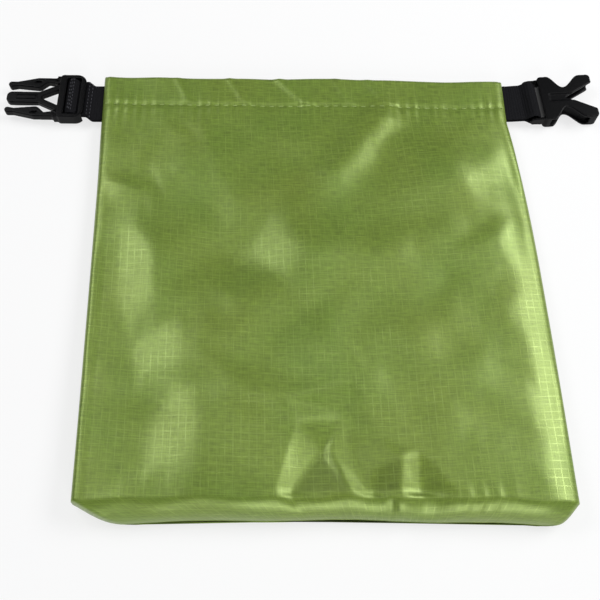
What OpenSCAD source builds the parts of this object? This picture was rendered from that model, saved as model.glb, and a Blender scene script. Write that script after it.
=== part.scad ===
// Roll-top compression sack lying flat and empty, with a side-release buckle on its hem.
// Origin: middle of the back panel's face on the table. +X along the hem, +Y towards the mouth, +Z up.
// All sizes are in millimetres.

/* [Sack] */
// Width of the sack lying flat
sack_w = 185; // [150:1:260]
// Length from the hem's edge to the ridge where the front turns into the base
sack_len = 190; // [150:1:300]
// Height of the flattened tube from the mouth down to the roll line
mouth_h = 6.8; // [6.4:0.1:9]
// Height of the ridge over the boxed base
ridge_h = 13; // [10:0.5:24]
// How far the base bulges past the ridge
tail_len = 11; // [8:0.5:20]
// Height of the base at its seam
tail_h = 3; // [2:0.5:5]
// Depth of the boxed base, half of which each of its corners is cut in
base_depth = 36; // [20:1:60]
// How far past the ridge the base is still rounded
bulge_len = 7; // [4:0.5:7.5]
// Height of the base there
bulge_h = 11; // [6:0.5:16]
// How far the base's corners have run in there
bulge_inset = 8; // [4:0.5:9]
// Thickness of the coated ripstop cloth with its folds
cloth_t = 0.5; // [0.3:0.05:0.8]
// Width of the seam allowance turned into the sack along each side
seam_w = 8; // [5:0.5:12]
// Thickness of that allowance, two plies and their sealing tape
seam_t = 1; // [0.6:0.1:1.6]

/* [Hem] */
// Width of the hem that is turned in at the mouth
hem_w = 15; // [10:0.5:18]
// Thickness of the turned-in ply
facing_t = 0.4; // [0.3:0.05:0.6]
// Width of the stiffening strip in the back hem
stiffener_w = 12; // [6:0.5:13]
// Thickness of that strip
stiffener_t = 0.5; // [0.3:0.1:0.6]
// Width of the band that turns over when the mouth is rolled
roll_w = 28; // [25:0.5:40]
// Gap left for the cloth to bend along the roll line
roll_gap = 0.8; // [0.6:0.1:2]
// Height of the roll axis over the front face
roll_lift = 0.4; // [0.3:0.1:1]

/* [Webbing] */
// Width of the webbing
web_w = 19; // [15:1:25]
// Thickness of one ply of webbing
web_t = 1.2; // [0.8:0.1:1.4]
// Distance from the hem's edge to the middle of the webbing
web_drop = 11.8; // [10.5:0.1:14]
// Radius of the rolled root where the webbing leaves the side seam
root_r = 1.2; // [0.8:0.1:1.6]
// Length of the webbing's tail sewn into the side seam
web_tail = 7; // [5:0.5:10]
// Angle by which the plug lies askew towards the mouth, in degrees
plug_yaw = 1; // [-10:1:10]
// How far the plug lies nearer the mouth than its webbing's root
plug_rise = 2.5; // [0:0.1:3]
// Angle by which the socket and its webbing lie askew towards the mouth, in degrees
socket_yaw = 4; // [-10:1:10]
// Clearance round pieces that turn or pass through each other
clear = 0.3; // [0.2:0.05:0.4]

/* [Buckle] */
// Thickness of both buckle halves
buckle_h = 6.6; // [6.2:0.1:9]
// Wall left beside the webbing slots
rail_w = 1.9; // [1.6:0.1:3]
// Radius of the bars that carry the webbing
bar_r = 1.4; // [1:0.1:1.6]
// Radius of the rounded outline corners
corner_r = 1.6; // [1:0.1:2.2]

/* [Plug half] */
// Distance from the webbing's root to the plug's frame
plug_start = 6.2; // [3:0.1:8]
// Radius of the frame's corners at the webbing's end
frame_corner_r = 4.4; // [2:0.1:6]
// Width of the end bar that the webbing runs under
end_bar_w = 2.4; // [2:0.1:4]
// Thickness of that end bar
end_bar_t = 1.5; // [1:0.1:1.6]
// Gap between the end bar and the webbing that goes round the middle bar
ladder_gap = 0.5; // [0.4:0.1:2]
// Length of the cross bar that carries the prongs
cross_len = 3.2; // [3:0.1:5]
// How far the frame's faces lie inside the buckle's thickness
frame_inset = 0.4; // [0.2:0.1:0.6]
// How far the cross bar's faces lie inside the buckle's thickness
cross_inset = 1; // [0.6:0.1:1.3]
// Reach of the tongue and prongs past the frame
prong_len = 24.2; // [23:0.1:30]
// Width of the middle tongue
tongue_w = 6; // [5:0.1:7]
// Thickness of the tongue and its braces
tongue_t = 2.8; // [2.4:0.1:4]
// Radius of the tongue's rounded tip corners
tongue_tip_r = 2.3; // [1.5:0.1:2.4]
// Height of the raised rib along the tongue
rib_h = 0.4; // [0.2:0.1:0.5]
// Width of that rib
rib_w = 2; // [1:0.1:3]
// Length of the three-cornered opening between the braces
brace_len = 7.6; // [5:0.1:9]
// Width of each brace
brace_w = 2.8; // [2:0.1:3.4]
// Distance from the frame's side in to the middle of each brace's foot
brace_inset = 5; // [4.5:0.1:6]
// Thickness of the prongs
prong_t = 3.2; // [2.6:0.1:4]
// Distance from the frame to the axis about which a prong gives
prong_axis = 1.6; // [1.4:0.1:2.5]
// Radius of the prong's root
prong_root_r = 1.5; // [1.2:0.1:1.6]
// Width of the prong's thin neck
neck_w = 2.2; // [1.6:0.1:2.6]
// Distance from the frame to the end of the neck
neck_len = 6.4; // [5:0.1:7]
// Distance from the frame's side in to the prongs' shoulders
shoulder_inset = 1; // [0.8:0.1:1.8]
// Distance from the frame to the middle of the shoulder
shoulder_at = 10.4; // [9.5:0.1:12]
// Width of the shoulder
shoulder_w = 5.4; // [4.4:0.1:5.6]
// Width of the prong just behind its tip
tip_neck_w = 2.2; // [1.8:0.1:2.6]
// Radius of the rounded tip
tip_r = 1.4; // [1.2:0.1:1.6]
// Distance from the frame's side in to the middle of each tip
tip_inset = 4.6; // [4.2:0.1:5.8]
// Length of the slit that lightens each shoulder
slit_len = 3; // [2:0.1:4]
// Width of that slit
slit_w = 0.9; // [0.6:0.1:1.2]

/* [Socket half] */
// Distance from the webbing's root to the axis of the socket's bar
socket_bar = 10.4; // [10:0.1:18]
// Gap between the looped webbing and the socket's body
socket_gap = 1.4; // [0.6:0.1:3]
// Length of the socket's body
socket_len = 24.6; // [24:0.1:32]
// Length of the body's full-width back
socket_back = 4.4; // [3.5:0.1:5]
// Length of the closed block at the back of the cavity
block_len = 3; // [2:0.1:3.4]
// Thickness of the socket's top and bottom plates
plate_t = 1.1; // [0.9:0.1:1.3]
// Distance from the body's back to the waist
waist_at = 11; // [10:0.1:12]
// How far the socket's sides come in at its waist
waist_inset = 6.3; // [5:0.1:7]
// Length of the fork's straight ends
fork_end = 5; // [4:0.1:6]
// Depth of the notch in the socket's mouth
notch_depth = 13.2; // [8:0.1:14]
// Width of the fork's ends on both sides of that notch
fork_w = 4.4; // [3.8:0.1:6]
// Length of the walls that join the plates at the mouth
mouth_wall_len = 4; // [3:0.1:5]
// Thickness of those walls
mouth_wall_t = 2.6; // [2:0.1:3]
// Depth of the groove in the top plate
groove_depth = 0.5; // [0.2:0.1:0.6]
// Width of that groove
groove_w = 3.8; // [2:0.1:5]
// Thickness of the ribs that guide the tongue
guide_t = 0.9; // [0.6:0.1:1.2]
// Length of those ribs past the block
guide_len = 7; // [4:0.1:8]

/* [Hidden] */
$fn = 48;
thin = 0.01;        // thickness of the section slices that are joined by hulls
cut = 1;            // how far a cutting shape runs past the face it opens
hull_fn = 32;       // sides of the rounded slices inside hulls
fold_steps = 16;    // steps round a side fold

cloth_green = "#7d9a45";
seam_grey = "#8d9a72";
plastic_black = "#17171a";
webbing_black = "#1b1b1e";
stiffener_white = "#d8d8d2";

// Stations along the sack, from the base to the mouth
y_hem = (sack_len + tail_len) / 2;
y_ridge = y_hem - sack_len;
y_tail = y_ridge - tail_len;
y_roll = y_hem - roll_w;
y_body_end = y_roll - roll_gap / 2;
y_lip_start = y_roll + roll_gap / 2;
y_bulge = y_ridge - bulge_len;

half_w = sack_w / 2;
mouth_r = mouth_h / 2;
ridge_r = ridge_h / 2;
bulge_r = bulge_h / 2;
bulge_half_w = half_w - bulge_inset;
tail_half_w = half_w - base_depth / 2;

// Webbing: its middle, its two plies and its root beside the seam
y_web = y_hem - web_drop;
z_web = mouth_r;
ply_h = 2 * web_t;
root_x = half_w + clear + root_r;
loop_in = bar_r + clear;
loop_out = loop_in + web_t;
slot_half = web_w / 2 + clear;
buckle_half_w = slot_half + rail_w;
buckle_mid = buckle_h / 2;

// Plug half, measured along u from the webbing's root
plug_bar_u = plug_start + end_bar_w + ladder_gap + loop_out;
cross_start = plug_bar_u + loop_out + clear;
plug_front = cross_start + cross_len;
tongue_tip = plug_front + prong_len;
tongue_base = plug_front + brace_len;
brace_foot = buckle_half_w - brace_inset;
shoulder_half = buckle_half_w - shoulder_inset;
tip_half = buckle_half_w - tip_inset;
tongue_z = buckle_mid - tongue_t / 2;
prong_z = buckle_mid - prong_t / 2;
prong_root = [plug_front + prong_axis, shoulder_half - prong_root_r];
// Prong from root to tip: distance along u, distance from the middle, half width
prong_line = [
    [prong_root[0], prong_root[1], prong_root_r],
    [plug_front + neck_len, shoulder_half - neck_w / 2, neck_w / 2],
    [plug_front + shoulder_at, shoulder_half - shoulder_w / 2, shoulder_w / 2],
    [tongue_tip - 3 * tip_r, tip_half + tip_r - tip_neck_w / 2, tip_neck_w / 2],
    [tongue_tip - tip_r, tip_half, tip_r],
];

// Socket half, measured along u from the webbing's root
socket_start = socket_bar + loop_out + socket_gap;
socket_end = socket_start + socket_len;
waist_u = socket_start + waist_at;
waist_half = buckle_half_w - waist_inset;
notch_half = buckle_half_w - fork_w;
back_end_u = socket_start + socket_back;
fork_u = socket_end - fork_end;
side_steps = 36;
corner_steps = 6;
guide_half = tongue_w / 2 + clear;
socket_rail_h = 2 * bar_r + 1;
guide_end = block_len + guide_len;

// A slice across the sack at y: a stadium of the given half width and radius, standing on z = 0
module sack_slice(y, half, r, inset = 0) {
    for (side = [-1, 1])
        translate([side * (half - r), y, r])
            rotate([90, 0, 0])
                cylinder(r = r - inset, h = thin, center = true, $fn = hull_fn);
}

// Half-round arc across the sack at y, from the table up to the front, on the +X side
function fold_arc(y, r, inset) = [
    for (i = [0:fold_steps])
        let (a = -90 + 180 * i / fold_steps)
            [half_w - r + (r - inset) * cos(a), y, r + (r - inset) * sin(a)]
];

// Straight line across the sack at y between two places along X, at one height
function line_across(y, x0, x1, z) = [[x0, y, z], [x1, y, z]];

// Solid strip of cloth between two stations. Each station has a line of points along the strip's
// outer face and a line of as many along its inner face.
module cloth_strip(outer0, inner0, outer1, inner1) {
    m = len(outer0);
    last = m - 1;
    polyhedron(
        points = concat(outer0, inner0, outer1, inner1),
        faces = concat(
            [for (i = [0:last - 1]) each [[i, i + 1, 2 * m + i + 1], [i, 2 * m + i + 1, 2 * m + i]]],
            [for (i = [m:m + last - 1]) each [[i, 2 * m + i + 1, i + 1], [i, 2 * m + i, 2 * m + i + 1]]],
            [for (i = [0:last - 1]) each [[i, m + i, m + i + 1], [i, m + i + 1, i + 1]]],
            [for (i = [2 * m:2 * m + last - 1]) each [[i, m + i + 1, m + i], [i, i + 1, m + i + 1]]],
            [[0, 2 * m, 3 * m], [0, 3 * m, m]],
            [[last, 3 * m + last, 2 * m + last], [last, m + last, 3 * m + last]]
        )
    );
}

module mirrored(side) {
    if (side < 0)
        mirror([1, 0, 0]) children();
    else
        children();
}

module back_panel() {
    color(cloth_green)
        linear_extrude(height = cloth_t)
            polygon([
                [-(half_w - ridge_r), y_ridge], [half_w - ridge_r, y_ridge],
                [half_w - mouth_r, y_body_end], [-(half_w - mouth_r), y_body_end],
            ]);
}

module front_panel() {
    ridge_half = half_w - ridge_r;
    mouth_half = half_w - mouth_r;
    color(cloth_green)
        cloth_strip(
            line_across(y_ridge, ridge_half, -ridge_half, ridge_h),
            line_across(y_ridge, ridge_half, -ridge_half, ridge_h - cloth_t),
            line_across(y_body_end, mouth_half, -mouth_half, mouth_h),
            line_across(y_body_end, mouth_half, -mouth_half, mouth_h - cloth_t)
        );
}

module body_side_fold(side) {
    color(cloth_green)
        mirrored(side)
            cloth_strip(
                fold_arc(y_ridge, ridge_r, 0), fold_arc(y_ridge, ridge_r, cloth_t),
                fold_arc(y_body_end, mouth_r, 0), fold_arc(y_body_end, mouth_r, cloth_t)
            );
}

// Two plies of cloth and their sealing tape, turned into the sack at half height
module seam_allowance(side) {
    outer = half_w - cloth_t - clear;
    inner = outer - seam_w;
    color(seam_grey)
        mirrored(side)
            cloth_strip(
                line_across(y_ridge, outer, inner, ridge_r + seam_t / 2),
                line_across(y_ridge, outer, inner, ridge_r - seam_t / 2),
                line_across(y_body_end, outer, inner, mouth_r + seam_t / 2),
                line_across(y_body_end, outer, inner, mouth_r - seam_t / 2)
            );
}

// Boxed base, folded flat: it bulges past the ridge, and its corners run in to the base seam
module base_panel() {
    color(cloth_green)
        difference() {
            hull() {
                sack_slice(y_ridge - thin / 2, half_w, ridge_r);
                sack_slice(y_bulge, bulge_half_w, bulge_r);
                sack_slice(y_tail + thin / 2, tail_half_w, tail_h / 2);
            }
            hull() {
                sack_slice(y_ridge + cut, half_w, ridge_r, cloth_t);
                sack_slice(y_bulge + cloth_t / 2, bulge_half_w - cloth_t, bulge_r, cloth_t);
                sack_slice(y_tail + cloth_t, tail_half_w - cloth_t, tail_h / 2, cloth_t);
            }
        }
}

// Flat ply of the rolled band between two heights
module lip(z) {
    color(cloth_green)
        translate([-(half_w - mouth_r), y_lip_start, z])
            cube([2 * (half_w - mouth_r), y_hem - y_lip_start, cloth_t]);
}

module lip_fold(side) {
    color(cloth_green)
        mirrored(side)
            translate([half_w - mouth_r, y_lip_start, mouth_r])
                rotate([-90, 0, 0])
                    difference() {
                        cylinder(r = mouth_r, h = y_hem - y_lip_start);
                        translate([0, 0, -cut])
                            cylinder(r = mouth_r - cloth_t, h = y_hem - y_lip_start + 2 * cut);
                        translate([-2 * mouth_r, -mouth_r - cut, -cut])
                            cube([2 * mouth_r, mouth_h + 2 * cut, y_hem - y_lip_start + 2 * cut]);
                    }
}

// Turned-in ply of the back hem. It wraps the stiffener and meets the back lip at the mouth's edge
module back_hem_facing() {
    length = 2 * (half_w - mouth_r);
    color(cloth_green)
        translate([-length / 2, y_hem - hem_w, cloth_t + stiffener_t])
            union() {
                cube([length, hem_w, facing_t]);
                translate([0, hem_w - facing_t, -stiffener_t])
                    cube([length, facing_t, stiffener_t + facing_t]);
            }
}

module front_hem_facing() {
    length = 2 * (half_w - mouth_r);
    color(cloth_green)
        translate([-length / 2, y_hem - hem_w, mouth_h - cloth_t - facing_t])
            cube([length, hem_w, facing_t]);
}

module hem_stiffener() {
    length = 2 * (half_w - mouth_r) - 2 * clear;
    color(stiffener_white)
        translate([-length / 2, y_hem - facing_t - clear - stiffener_w, cloth_t])
            cube([length, stiffener_w, stiffener_t]);
}

// The webbing's two plies sewn into the side seam, inside the sack
module webbing_tail(side) {
    color(webbing_black)
        mirrored(side)
            translate([half_w - cloth_t - clear - web_tail, y_web - web_w / 2, z_web - web_t])
                cube([web_tail, web_w, ply_h]);
}

// Ring of webbing round a bar that lies across the plies, at the local origin
module webbing_ring() {
    rotate([90, 0, 0])
        difference() {
            cylinder(r = loop_out, h = web_w, center = true);
            cylinder(r = loop_in, h = web_w + 2 * cut, center = true);
        }
}

// Webbing doubled round a bar: a rolled root in the side seam, two plies, and a loop.
// Past the root it slants towards the mouth by rise, and from bend_u on it lies askew by yaw.
// It is drawn about the bar, from where the root lies back along the webbing.
module webbing_tab(bar_u, yaw, rise, bend_u) {
    flank = web_w / 2;
    straight_len = bar_u - bend_u;
    root_at = [-bar_u - rise * sin(yaw), -rise * cos(yaw)];
    across = flank * [sin(yaw), cos(yaw)];
    color(webbing_black)
        translate([bar_u * cos(yaw), rise + bar_u * sin(yaw)])
            rotate([0, 0, yaw])
                difference() {
                    union() {
                        translate(root_at)
                            rotate([90, 0, -yaw])
                                cylinder(r = root_r, h = web_w - 2 * clear, center = true);
                        translate([0, 0, -web_t])
                            linear_extrude(height = ply_h)
                                polygon([
                                    root_at - across, root_at + across, [-straight_len, flank],
                                    [0, flank], [0, -flank], [-straight_len, -flank],
                                ]);
                        webbing_ring();
                    }
                    rotate([90, 0, 0])
                        cylinder(r = loop_in, h = 2 * web_w, center = true);
                }
}

// Places a piece built along u at the webbing's root on one side of the mouth
module at_root(side, yaw, rise) {
    mirrored(side)
        translate([root_x, y_web + rise, z_web])
            rotate([0, 0, yaw])
                translate([0, 0, -buckle_mid])
                    children();
}

// Plan outline of the plug's frame: wide round corners at the webbing's end, tight ones in front
module frame_outline() {
    hull()
        for (side = [-1, 1]) {
            translate([plug_start + frame_corner_r, side * (buckle_half_w - frame_corner_r)])
                circle(r = frame_corner_r, $fn = hull_fn);
            translate([plug_front - corner_r, side * (buckle_half_w - corner_r)])
                circle(r = corner_r, $fn = hull_fn);
        }
}

// Frame of the plug: rails, an end bar over the webbing, a round middle bar, and a cross bar
// with the seats of the prongs, the braces and the tongue
module plug_frame() {
    frame_h = buckle_h - 2 * frame_inset;
    color(plastic_black)
        at_root(-1, plug_yaw, plug_rise)
            difference() {
                union() {
                    difference() {
                        translate([0, 0, frame_inset])
                            linear_extrude(height = frame_h)
                                frame_outline();
                        translate([plug_start + end_bar_w, -slot_half, -cut])
                            cube([cross_start - plug_start - end_bar_w, 2 * slot_half, buckle_h + 2 * cut]);
                        translate([plug_start - cut, -slot_half, -cut])
                            cube([end_bar_w + 2 * cut, 2 * slot_half, cut + buckle_h - frame_inset - end_bar_t]);
                    }
                    translate([plug_bar_u, 0, buckle_mid])
                        rotate([90, 0, 0])
                            cylinder(r = bar_r, h = 2 * slot_half + rail_w, center = true);
                    for (side = [-1, 1]) {
                        prong_seat(side);
                        brace(side);
                    }
                    tongue();
                }
                for (side = [-1, 1])
                    translate([prong_root[0], side * prong_root[1], -cut])
                        cylinder(r = prong_root_r + clear / 3, h = buckle_h + 2 * cut);
            }
}

// Block on the cross bar that carries a prong's root
module prong_seat(side) {
    seat_half = buckle_half_w - prong_root[1] - frame_inset;
    translate([cross_start, side * prong_root[1] - seat_half, cross_inset])
        cube([plug_front - cross_start + prong_axis, 2 * seat_half, buckle_h - 2 * cross_inset]);
}

// Slanted brace from the cross bar to the tongue
module brace(side) {
    r = brace_w / 2;
    translate([0, 0, tongue_z])
        linear_extrude(height = tongue_t)
            hull()
                for (end = [[plug_front - r, brace_foot], [tongue_base + r, tongue_w / 2 - r]])
                    translate([end[0], side * end[1]])
                        circle(r = r, $fn = hull_fn);
}

// Middle tongue with a rounded tip and a raised rib
module tongue() {
    rib_start = tongue_base + brace_w;
    translate([0, 0, tongue_z])
        linear_extrude(height = tongue_t)
            hull() {
                translate([tongue_base, -tongue_w / 2])
                    square([brace_w, tongue_w]);
                for (side = [-1, 1])
                    translate([tongue_tip - tongue_tip_r, side * (tongue_w / 2 - tongue_tip_r)])
                        circle(r = tongue_tip_r, $fn = hull_fn);
            }
    translate([rib_start, -rib_w / 2, tongue_z + tongue_t - rib_h])
        cube([tongue_tip - rib_start - 2 * tongue_tip_r, rib_w, 2 * rib_h]);
}

// Spring prong: a round root, a thin neck, a wide shoulder with a slit, and a rounded tip
module plug_prong(side) {
    shoulder = prong_line[2];
    color(plastic_black)
        at_root(-1, plug_yaw, plug_rise)
            mirror([0, side > 0 ? 0 : 1, 0])
                difference() {
                    union() {
                        translate([prong_root[0], prong_root[1], prong_z])
                            cylinder(r = prong_root_r, h = prong_t);
                        translate([0, 0, prong_z])
                            linear_extrude(height = prong_t)
                                for (i = [1:len(prong_line) - 1])
                                    hull()
                                        for (p = [prong_line[i - 1], prong_line[i]])
                                            translate([p[0], p[1]])
                                                circle(r = p[2], $fn = hull_fn);
                    }
                    translate([shoulder[0] - slit_len / 2, shoulder[1], -cut])
                        cube([slit_len, slit_w, buckle_h + 2 * cut]);
                }
}

module left_webbing() {
    mirrored(-1)
        translate([root_x, y_web, z_web])
            webbing_tab(plug_bar_u, plug_yaw, plug_rise, plug_start - clear);
}

module right_webbing() {
    translate([root_x, y_web, z_web])
        webbing_tab(socket_bar, socket_yaw, 0, socket_bar / 2);
}

// Half width of the socket's plates at u: a full-width back, a waist, and a full-width fork
function eased(t) = (1 - cos(180 * min(max(t, 0), 1))) / 2;
function socket_side(u) =
    waist_half + (buckle_half_w - waist_half) * (u < waist_u
        ? 1 - eased((u - back_end_u) / (waist_u - back_end_u))
        : eased((u - waist_u) / (fork_u - waist_u)));

// Points of a rounded corner about a centre, from one angle to another
function corner(centre, from, to) = [
    for (i = [0:corner_steps])
        let (a = from + (to - from) * i / corner_steps)
            centre + corner_r * [cos(a), sin(a)]
];

// Plan outline of the socket's plates, with rounded corners and a notched mouth
module socket_outline() {
    sides = [for (i = [0:side_steps]) let (u = back_end_u + (fork_u - back_end_u) * i / side_steps)
        [u, socket_side(u)]];
    upper = concat(
        corner([socket_start + corner_r, buckle_half_w - corner_r], 180, 90),
        sides,
        corner([socket_end - corner_r, buckle_half_w - corner_r], 90, 0),
        [[socket_end, notch_half]]
    );
    lower = [for (i = [len(upper) - 1:-1:0]) [upper[i][0], -upper[i][1]]];
    polygon(concat(upper, [[socket_end - notch_depth, 0]], lower));
}

// Plan of the walls that join the two plates: the block at the back, the tongue's guides, the mouth's sides
module socket_walls() {
    translate([socket_start, -buckle_half_w])
        square([block_len, 2 * buckle_half_w]);
    for (side = [0, 1])
        mirror([0, side, 0]) {
            translate([socket_end - mouth_wall_len, buckle_half_w - mouth_wall_t])
                square([mouth_wall_len, mouth_wall_t]);
            translate([socket_start, guide_half])
                square([guide_end, guide_t]);
        }
}

// Socket: two plates joined at the back and beside the mouth, with open sides
module socket_body() {
    groove_start = socket_start + block_len + 1;
    color(plastic_black)
        at_root(1, socket_yaw, 0)
            difference() {
                union() {
                    for (z = [0, buckle_h - plate_t])
                        translate([0, 0, z])
                            linear_extrude(height = plate_t)
                                socket_outline();
                    linear_extrude(height = buckle_h)
                        intersection() {
                            socket_outline();
                            socket_walls();
                        }
                    for (side = [0, 1])
                        mirror([0, side, 0])
                            socket_rail();
                    translate([socket_bar, 0, buckle_mid])
                        rotate([90, 0, 0])
                            cylinder(r = bar_r, h = 2 * slot_half + rail_w, center = true);
                }
                translate([groove_start, -groove_w / 2, buckle_h - groove_depth])
                    cube([socket_len, groove_w, groove_depth + cut]);
            }
}

// Rail that joins the end of the socket's bar to its body
module socket_rail() {
    translate([0, buckle_half_w - corner_r / 2, 0])
        rotate([90, 0, 0])
            linear_extrude(height = rail_w - corner_r / 2)
                hull() {
                    translate([socket_bar, buckle_mid])
                        circle(r = socket_rail_h / 2, $fn = hull_fn);
                    translate([socket_start, plate_t])
                        square([corner_r, buckle_h - 2 * plate_t]);
                }
}

back_panel();
front_panel();
body_side_fold(-1);  // left_side_fold
body_side_fold(1);  // right_side_fold
base_panel();
seam_allowance(-1);  // left_seam_allowance
seam_allowance(1);  // right_seam_allowance
lip(0);  // back_lip
lip(mouth_h - cloth_t);  // front_lip
lip_fold(-1);  // left_lip_fold
lip_fold(1);  // right_lip_fold
back_hem_facing();
front_hem_facing();
hem_stiffener();
webbing_tail(-1);  // left_webbing_tail
webbing_tail(1);  // right_webbing_tail
left_webbing();
plug_frame();
plug_prong(1);  // plug_upper_prong
plug_prong(-1);  // plug_lower_prong
right_webbing();
socket_body();
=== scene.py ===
# %% [markdown]
# # A roll-top compression sack, dressed around its solids
# The real thing is a small sack of coated ripstop nylon that lies flat and empty on a table. Its mouth
# has a stitched hem, and from each end of the hem a short tab of webbing carries one half of a
# side-release buckle. The solids give every place and size. This lesson sews cloth, thread, webbing and
# moulded plastic around them, one piece at a time.

# %% Load the solids
import math

import bmesh
import bpy
import numpy as np
from mathutils import Matrix, Vector


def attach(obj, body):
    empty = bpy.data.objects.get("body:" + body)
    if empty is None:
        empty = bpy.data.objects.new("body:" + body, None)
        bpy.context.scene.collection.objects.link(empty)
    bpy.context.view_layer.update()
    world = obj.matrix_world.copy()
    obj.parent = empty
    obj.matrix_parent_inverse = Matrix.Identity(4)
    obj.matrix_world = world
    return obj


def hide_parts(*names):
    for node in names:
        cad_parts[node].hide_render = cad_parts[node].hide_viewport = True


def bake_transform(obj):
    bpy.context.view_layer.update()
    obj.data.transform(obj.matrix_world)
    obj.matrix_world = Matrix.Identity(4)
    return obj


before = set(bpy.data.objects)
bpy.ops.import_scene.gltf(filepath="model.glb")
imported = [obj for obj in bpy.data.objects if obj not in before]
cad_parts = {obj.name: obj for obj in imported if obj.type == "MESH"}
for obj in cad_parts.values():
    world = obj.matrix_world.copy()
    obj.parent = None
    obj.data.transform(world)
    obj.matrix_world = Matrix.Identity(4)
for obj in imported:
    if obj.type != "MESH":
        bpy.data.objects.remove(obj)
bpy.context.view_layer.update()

# %% [markdown]
# ## Sizes and small helpers
# All shapes below are worked out in millimetres, as on a pattern cutter's table, and turned to metres
# only when a mesh is made. The sizes are those of the part's source. The helpers turn a paint code into
# the linear colour that a shader wants, make a material, add a node with its settings and links, put an
# object in the scene, and turn its modifiers into plain mesh.

# %% Sizes
MM = 0.001
SACK_W = 185              # width of the sack lying flat
Y_HEM = 100.5             # the mouth's edge
Y_RIDGE = -89.5           # where the front turns into the base
Y_TAIL = -100.5           # the base's lowest edge
Y_ROLL = 72.5             # the line where the mouth first rolls over
HEM_W = 15                # hem turned in at the mouth
SACK_LEN = Y_HEM - Y_RIDGE
print("sack:", SACK_W, "x", Y_HEM - Y_TAIL, "mm")

# %% Helpers


def paint(code):
    """Linear RGBA of an sRGB hex code."""
    parts = [int(code[i:i + 2], 16) / 255 for i in (1, 3, 5)]
    return (*[c / 12.92 if c <= 0.04045 else ((c + 0.055) / 1.055) ** 2.4 for c in parts], 1.0)


def new_material(name):
    """A material with an empty node tree, and that tree."""
    material = bpy.data.materials.new(name)
    material.use_nodes = True
    material.node_tree.nodes.clear()
    return material, material.node_tree


def add_node(tree, kind, inputs=None, **settings):
    """A new node with its settings, whose inputs are values or the sockets that feed them."""
    node = tree.nodes.new(kind)
    for name, value in settings.items():
        setattr(node, name, value)
    for key, value in (inputs or {}).items():
        if isinstance(value, bpy.types.NodeSocket):
            tree.links.new(value, node.inputs[key])
        else:
            node.inputs[key].default_value = value
    return node


def put(name, data):
    """An object in the scene, at the origin."""
    thing = bpy.data.objects.new(name, data)
    bpy.context.scene.collection.objects.link(thing)
    return thing


def new_piece(name, points_mm, faces, material=None):
    """A mesh object from points in millimetres."""
    mesh = bpy.data.meshes.new(name)
    mesh.from_pydata([tuple(p) for p in np.asarray(points_mm, float) * MM], [], faces)
    mesh.validate()
    if material:
        mesh.materials.append(material)
    return put(name, mesh)


def settle(piece):
    """Turns a piece's modifiers into plain mesh and shades it smooth."""
    graph = bpy.context.evaluated_depsgraph_get()
    mesh = bpy.data.meshes.new_from_object(piece.evaluated_get(graph))
    piece.modifiers.clear()
    piece.data = mesh
    mesh.shade_smooth()
    return piece


def thicken(sheet, thickness_mm, offset):
    """Gives a sheet its thickness: offset -1 is inwards, 0 is to both sides."""
    thick = sheet.modifiers.new("thickness", "SOLIDIFY")
    thick.thickness = thickness_mm * MM
    thick.offset = offset
    return settle(sheet)


def smoothstep(a, b, x):
    """A smooth step from 0 at a to 1 at b."""
    t = np.clip((np.asarray(x, float) - a) / (b - a), 0, 1)
    return t * t * (3 - 2 * t)


print("helpers ready")

# %% [markdown]
# ## Camera
# The photograph looks down at the sack from in front at about 66 degrees. The camera stands there, with
# a small sideways shift for the framing.

# %% Camera
LENS, SENSOR = 48, 36     # mm
CAMERA_SHIFT = 0.03       # share of the frame
CAMERA_PLACE = (-0.0098, -0.1411, 0.3048)
CAMERA_DIP = 66.44        # degrees that it looks down
scene = bpy.context.scene
scene.view_settings.view_transform = "Standard"
camera_data = bpy.data.cameras.new("photo_camera")
camera_data.lens = LENS
camera_data.sensor_width = SENSOR
camera_data.shift_x = CAMERA_SHIFT
camera = put("photo_camera", camera_data)
camera.location = CAMERA_PLACE
camera.rotation_euler = (math.radians(90 - CAMERA_DIP), 0, 0)
scene.camera = camera
print("camera at", CAMERA_PLACE)

# %% [markdown]
# ## White floor
# The floor is plain white paper. For the eye of the camera and for gloss most of its colour is white
# light of strength 1, and the rest is paper that keeps the sack's soft shadow.

# %% White floor
FLOOR_HALF = 4.0          # m
FLOOR_DROP = 0.0004       # m below the table's height, clear of the cloth
FLOOR_WHITE = 0.72        # share of white light in what the camera sees
floor_mesh = bpy.data.meshes.new("studio_floor")
floor_mesh.from_pydata(
    [(x * FLOOR_HALF, y * FLOOR_HALF, -FLOOR_DROP) for x, y in ((-1, -1), (1, -1), (1, 1), (-1, 1))],
    [], [(0, 1, 2, 3)])
floor = put("studio_floor", floor_mesh)
floor_paint, tree = new_material("white_studio_paper")
path = add_node(tree, "ShaderNodeLightPath")
seen = path.outputs["Is Camera Ray"]
for ray in ("Is Glossy Ray", "Is Transmission Ray"):
    either = add_node(tree, "ShaderNodeMath", {0: seen, 1: path.outputs[ray]}, operation="MAXIMUM")
    seen = either.outputs[0]
share = add_node(tree, "ShaderNodeMath", {0: seen, 1: FLOOR_WHITE}, operation="MULTIPLY")
paper = add_node(tree, "ShaderNodeBsdfDiffuse", {"Color": paint("#f2f2f2")})
white = add_node(tree, "ShaderNodeEmission", {"Color": (1, 1, 1, 1), "Strength": 1.0})
mixed = add_node(tree, "ShaderNodeMixShader",
                 {0: share.outputs[0], 1: paper.outputs[0], 2: white.outputs[0]})
add_node(tree, "ShaderNodeOutputMaterial", {"Surface": mixed.outputs[0]})
floor_mesh.materials.append(floor_paint)
print("floor:", floor_paint.name)

# %% [markdown]
# ## Room and lamps
# A dim, even room fills the shadows, and the camera sees it as white. Two lamps like windows stand right
# and left behind the sack, so that cloth which leans a little to either side shines. A weak skylight
# overhead gives the flat cloth near the base a faint sheen, and a lamp in front lights the base.

# %% Room and lamps
ROOM_LIGHT = 0.19         # strength of the room's even light
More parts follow.
